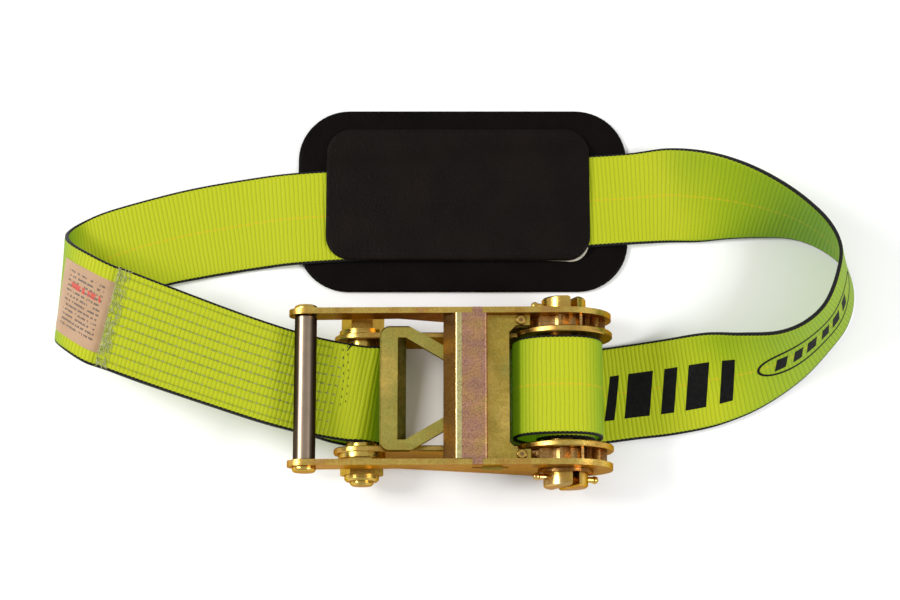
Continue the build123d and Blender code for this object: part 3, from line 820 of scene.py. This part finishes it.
def label_shader():
    """Woven label: rows of short plain dashes and a broken red bar, which spell nothing."""
    shader = Shader("label_cloth", Roughness=0.65, Sheen_Weight=0.2)
    split = shader.node("ShaderNodeSeparateXYZ")
    shader.link(shader.node("ShaderNodeUVMap", uv_map="web").outputs["UV"], split.inputs[0])
    across_label, up_label = split.outputs[0], split.outputs[1]
    cloth = shader.ramp(shader.noise(120, 3), (0.3, (0.36, 0.215, 0.115)), (0.7, (0.42, 0.26, 0.15)))
    line = shader.math("SINE", shader.math("MULTIPLY", up_label, 2 * math.pi * 15))
    inside = shader.band(across_label, 0.18, 0.82)
    broken = shader.math("GREATER_THAN", shader.noise(900, 1, stretch=(1, 0.3, 1)), 0.47)
    bars = shader.math("MULTIPLY", shader.math("GREATER_THAN", line, 0.25),
                       shader.math("MULTIPLY", inside, broken))
    bars = shader.math("MULTIPLY", bars, shader.band(up_label, 0.10, 0.92))
    colour = shader.mix(shader.math("MULTIPLY", bars, 0.8), cloth, (0.05, 0.04, 0.035))
    red_bar = shader.math("MULTIPLY", shader.band(up_label, 0.66, 0.74),
                          shader.band(across_label, 0.2, 0.75))
    gaps = shader.math("GREATER_THAN", shader.noise(650, 1, stretch=(1, 0.3, 1)), 0.44)
    red_bar = shader.math("MULTIPLY", red_bar, gaps)
    shader.colour(shader.mix(shader.math("MULTIPLY", red_bar, 0.85), colour, (0.50, 0.03, 0.02)))
    shader.normal(shader.bump(shader.noise(1500, 2), 0.25, 0.0002))
    return shader.material


label_from = along_at(main_strip, SEWN_LEFT - 1.0, 0, 205)


def label_shape(s, t):
    return label_from - LABEL_TUCK + (LABEL_LENGTH + LABEL_TUCK) * s, LABEL_LOW + LABEL_WIDTH * t


label = patch_on("strap_label_cloth", main_strip, label_shape, 24, 6, label_shader(),
                 WEB_THICK / 2 + 0.05, 0.3)
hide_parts("strap_label")

# ---- printed marks: plain slanted bars and a long ring ---------------------------------------------
print_shader = Shader("print_black", Roughness=0.6, Specular_IOR_Level=0.1)
print_shader.colour(print_shader.ramp(print_shader.noise(500, 3), (0.3, grey(0.002)), (0.7, grey(0.006))))
print_shader.normal(print_shader.bump(print_shader.noise(1500, 2), 0.2, 0.0001))
near_from = main_strip.length - 330
bars_from = along_at(main_strip, BARS_X, near_from, main_strip.length - 110)


def slanted_bar(start, width, slant, low, high):
    def shape(s, t):
        return start + width * s - slant * t, low + (high - low) * t
    return shape


for number, (start, width) in enumerate(BARS):
    bar = patch_on(f"printed_bar_{number + 1}", main_strip,
                   slanted_bar(bars_from + start, width, BAR_SLANT, *BAR_EDGES), 8, 12,
                   print_shader.material, MARK_LIFT, MARK_THICK)


def long_ring(middle, half_length, half_width, line):
    def shape(s, t):
        turned = 2 * math.pi * s
        grow = line * t
        flat = math.copysign(abs(math.cos(turned)) ** 0.7, math.cos(turned))
        return middle + flat * (half_length + grow), -1.0 + math.sin(turned) * (half_width + grow)
    return shape


ring_middle = bars_from - RING_BEFORE_BARS
ring_mark = patch_on("printed_ring", main_strip, long_ring(ring_middle, *RING_HALF, RING_LINE), 96, 1,
                     print_shader.material, MARK_LIFT, MARK_THICK)
for number in range(DOTS):
    dot_at = ring_middle - 22 + DOT_PITCH * number
    dot = patch_on(f"printed_dot_{number + 1}", main_strip,
                   slanted_bar(dot_at, 5.0 + number % 2, DOT_SLANT, *DOT_EDGES), 4, 4,
                   print_shader.material, MARK_LIFT, MARK_THICK)


# ---- webbing wound on the spindle ------------------------------------------------------------------
COIL_OUT = (coil_high.x - coil_low.x) / 2 - WEB_THICK / 2 - 0.1
coil_mid_y = (coil_low.y + coil_high.y) / 2


def coil_stations():
    """Through the slot between the spindle halves, then a spiral outwards."""
    slot = (math.sin(SLOT_LEAN), math.cos(SLOT_LEAN))
    stations = [across((SPINDLE.x + slot[0] * d, coil_mid_y, SPINDLE.z + slot[1] * d), (0, 0))
                for d in (-9.5, -3.0, 3.0, 9.5)]
    steps = 18
    for step in range(1, steps + 1):
        part = step / steps
        turned = SLOT_LEAN + 2 * math.pi * COIL_TURNS * part
        radius = COIL_INNER + (COIL_OUT - COIL_INNER) * part
        stations.append(across((SPINDLE.x + radius * math.sin(turned), coil_mid_y,
                                SPINDLE.z + radius * math.cos(turned)), (0, 0)))
    return stations


coil_strip = Strip(coil_stations(), step=1.2)
coil = web_piece("wound_webbing", coil_strip, "spindle")
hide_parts("webbing_coil")


# ---- pad -------------------------------------------------------------------------------------------
def leather_shader(name, tone, grain, shine):
    """Grained black rubberised leather with a dull rub on its high spots."""
    shader = Shader(name, Roughness=0.55, Specular_IOR_Level=shine)
    drift = shader.noise(45, 4)
    shader.colour(shader.ramp(drift, (0.3, tone), (0.75, tuple(1.9 * c for c in tone))))
    cells = shader.node("ShaderNodeTexVoronoi")
    cells.inputs["Scale"].default_value = 900
    shader.link(shader.place(), cells.inputs["Vector"])
    shader.rough(shader.ramp(shader.noise(200, 4), (0.3, grey(0.42)), (0.7, grey(0.66))))
    pebbled = shader.bump(cells.outputs["Distance"], grain, 0.0004)
    shader.normal(shader.bump(shader.noise(350, 4), 0.25, 0.0006, pebbled))
    return shader.material


def rounded_outline(centre, size, radius, inset):
    """Points of a rounded rectangle, moved in by inset."""
    corner_steps, side_steps = 14, 16
    half_x, half_y = size[0] / 2 - inset, size[1] / 2 - inset
    corner = max(radius - inset, 0.6)
    points = []
    for quarter, (sx, sy) in enumerate(((1, 1), (-1, 1), (-1, -1), (1, -1))):
        middle = (centre[0] + sx * (half_x - corner), centre[1] + sy * (half_y - corner))
        arc = [(middle[0] + corner * math.cos(math.pi / 2 * (quarter + k / corner_steps)),
                middle[1] + corner * math.sin(math.pi / 2 * (quarter + k / corner_steps)))
               for k in range(corner_steps + 1)]
        if points:
            start = points[-1]
            points += [(start[0] + (arc[0][0] - start[0]) * k / side_steps,
                        start[1] + (arc[0][1] - start[1]) * k / side_steps)
                       for k in range(1, side_steps)]
        points += arc
    start, end = points[-1], points[0]
    points += [(start[0] + (end[0] - start[0]) * k / side_steps,
                start[1] + (end[1] - start[1]) * k / side_steps) for k in range(1, side_steps)]
    return points


def soft_plate(name, centre, size, radius, top, bottom, material):
    """Closed pad from inset outlines; top and bottom give the height at (x, y, inset)."""
    inner_steps = int((min(size) / 2 - 10) / 3)
    insets = [0.0, 0.25, 0.7, 1.4, 2.6, 4.2, 6.0] + [9 + 3.0 * k for k in range(inner_steps)]
    top_rings, bottom_rings = [], []
    for inset in insets:
        outline = rounded_outline(centre, size, radius, inset)
        top_rings.append([(x, y, top(x, y, inset)) for x, y in outline])
        bottom_rings.append([(x, y, bottom(x, y, inset)) for x, y in outline])
    rings = list(reversed(bottom_rings)) + top_rings
    verts = [point for ring in rings for point in ring]
    return new_object(name, verts, ring_faces(len(rings), len(rings[0])), material, "frame")


def edge_round(inset, reach):
    """0 at the rim, rising to 1 over reach."""
    part = min(inset / reach, 1.0)
    return math.sqrt(1 - (1 - part) ** 2)


pad_middle = ((pad_low.x + pad_high.x) / 2, (pad_low.y + pad_high.y) / 2)
pad_size = (pad_high.x - pad_low.x, pad_high.y - pad_low.y)
patch_middle = ((patch_low.x + patch_high.x) / 2, (patch_low.y + patch_high.y) / 2)
patch_size = (patch_high.x - patch_low.x, patch_high.y - patch_low.y)


def pad_top(x, y, inset):
    ripple = 0.10 * math.sin(x * 0.11 + 1.0) * math.sin(y * 0.13)
    return PAD_THICK * 0.5 + (PAD_THICK * 0.5 + ripple * min(inset / 8, 1)) * edge_round(inset, 1.3)


def pad_bottom(x, y, inset):
    return PAD_THICK * 0.5 * (1 - edge_round(inset, 1.0))


def strap_hump(x, y):
    """Share of the lift at a place: 1 over the webbing, falling to 0 beside it."""
    strap_y = 49.3 + 0.058 * x
    away = abs(y - strap_y)
    fall = min(max((away - 24.5) / HUMP_SLOPE, 0.0), 1.0)
    return 1 - fall * fall * (3 - 2 * fall)


def patch_height(x, y):
    crease = 0.12 * math.sin(x * 0.16 + y * 0.05) * math.sin(y * 0.21 + 0.6)
    return PATCH_REST + (HUMP + crease) * strap_hump(x, y)


def patch_top(x, y, inset):
    return patch_height(x, y) + PATCH_THICK * (0.5 + 0.5 * edge_round(inset, 1.2))


def patch_bottom(x, y, inset):
    return patch_height(x, y) + PATCH_THICK * 0.5 * (1 - edge_round(inset, 1.0))


base_leather = leather_shader("pad_leather", (0.0022, 0.0014, 0.0012), 0.35, 0.05)
patch_leather = leather_shader("patch_leather", (0.0040, 0.0026, 0.0020), 0.6, 0.07)
base_pad = soft_plate("pad_base_leather", pad_middle, pad_size, PAD_CORNER, pad_top, pad_bottom,
                      base_leather)
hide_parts("pad_base")
patch = soft_plate("pad_patch_leather", patch_middle, patch_size, PATCH_CORNER, patch_top, patch_bottom,
                   patch_leather)
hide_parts("pad_patch")


def pad_seam():
    """Stitches along the two long edges that hold the patch down."""
    places = []
    for side in (-1, 1):
        y = patch_middle[1] + side * (patch_size[1] / 2 - SEAM_IN)
        x = patch_low.x + PATCH_CORNER
        while x < patch_high.x - PATCH_CORNER:
            height = patch_height(x, y) + PATCH_THICK
            places.append((np.array([x, y, height]), np.array([1.0, 0, 0]), np.array([0, 0, 1.0])))
            x += SEAM_PITCH
    return places


def lifted_edge():
    """Pale strip along the patch's lower right corner, where it stands off the base."""
    outline = [point for point in rounded_outline(patch_middle, patch_size, PATCH_CORNER, 0.4)
               if point[1] < patch_low.y + 12 and point[0] > patch_high.x - 33]
    outline.sort(key=lambda point: point[0] + 0.6 * (point[1] - patch_low.y))
    verts, faces = [], []
    count = len(outline)
    for index, (x, y) in enumerate(outline):
        reach = 1.5 * math.sin(math.pi * index / (count - 1)) ** 1.3 + 0.02
        outward = Vector((x - patch_middle[0] - 42, y - patch_middle[1] - 4)).normalized() * reach
        base = pad_high.z + 0.25
        verts += [(x, y, base), (x + outward.x, y + outward.y, base),
                  (x + outward.x, y + outward.y, base + 0.5), (x, y, base + 0.9)]
    return new_object("patch_pale_edge", verts, ring_faces(count, 4), pale_edge.material, "frame")


pale_edge = Shader("pale_edge_strip", Roughness=0.7)
pale_edge.colour(pale_edge.ramp(pale_edge.noise(300, 3), (0.3, (0.30, 0.27, 0.20)), (0.7, (0.62, 0.58, 0.48))))
pale_edge.normal(pale_edge.bump(pale_edge.noise(900, 2), 0.3, 0.0003))
patch_pale_edge = lifted_edge()

seam = stitches("pad_seam", pad_seam(), thread_shader("thread_black", grey(0.003), grey(0.009)))


# ---- springs ---------------------------------------------------------------------------------------
def coil_spring(name, node, wire):
    """Wire helix in the place of the plain tube node, along X."""
    low, high = (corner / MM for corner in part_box(node))
    middle = (low + high) / 2
    radius = (high.z - low.z) / 2 - wire
    steps, ring = SPRING_TURNS * 20, 8
    verts = []
    for step in range(steps + 1):
        turned = 2 * math.pi * SPRING_TURNS * step / steps
        outward = np.array([0, math.cos(turned), math.sin(turned)])
        pitch = (high.x - low.x - 2 * wire) / steps
        round_step = 2 * math.pi * SPRING_TURNS / steps * radius
        heading = np.array([pitch, -math.sin(turned) * round_step, math.cos(turned) * round_step])
        heading /= np.linalg.norm(heading)
        side = np.cross(heading, outward)
        centre = np.array([low.x + wire + pitch * step, middle.y, middle.z]) + outward * radius
        for k in range(ring):
            around = 2 * math.pi * k / ring
            verts.append(centre + (outward * math.cos(around) + side * math.sin(around)) * wire)
    spring = new_object(name, verts, ring_faces(steps + 1, ring), metals["spring"])
    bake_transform(spring)
    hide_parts(node)


coil_spring("frame_spring_wire", "frame_pawl_spring", FRAME_WIRE)
coil_spring("handle_spring_wire", "handle_pawl_spring", HANDLE_WIRE)

# ---- camera and light -----------------------------------------------------------------------------
camera_data = bpy.data.cameras.new("camera")
camera_data.lens = LENS_MM
camera_data.sensor_width = SENSOR_MM
camera = bpy.data.objects.new("camera", camera_data)
camera.location = TARGET + DISTANCE * Vector((0, -math.cos(ELEVATION), math.sin(ELEVATION)))
camera.rotation_euler = (math.pi / 2 - ELEVATION, 0, 0)
bpy.context.scene.collection.objects.link(camera)
bpy.context.scene.camera = camera
bpy.context.scene.view_settings.view_transform = "Standard"


def area_light(name, place, power):
    """White rectangle that faces the origin."""
    data = bpy.data.lights.new(name, "AREA")
    data.shape = "RECTANGLE"
    data.size, data.size_y = LAMP_SIZE
    data.energy = power
    light = bpy.data.objects.new(name, data)
    light.location = place
    light.rotation_euler = (-Vector(place)).to_track_quat("-Z", "Y").to_euler()
    bpy.context.scene.collection.objects.link(light)


area_light("key", KEY_PLACE, KEY_POWER)
area_light("fill", FILL_PLACE, FILL_POWER)
world = bpy.data.worlds.new("studio")
world.use_nodes = True
world.node_tree.nodes["Background"].inputs["Color"].default_value = (1, 1, 1, 1)
world.node_tree.nodes["Background"].inputs["Strength"].default_value = WORLD_STRENGTH
bpy.context.scene.world = world

floor_shader = Shader("floor_white", Roughness=0.7)
floor_shader.colour(floor_shader.ramp(floor_shader.noise(3), (0.3, grey(0.93)), (0.7, grey(0.95))))
bpy.ops.mesh.primitive_plane_add(size=6, location=(0, 0, -FLOOR_DROP))
floor = bpy.context.object
floor.name = "floor"
floor.data.materials.append(floor_shader.material)
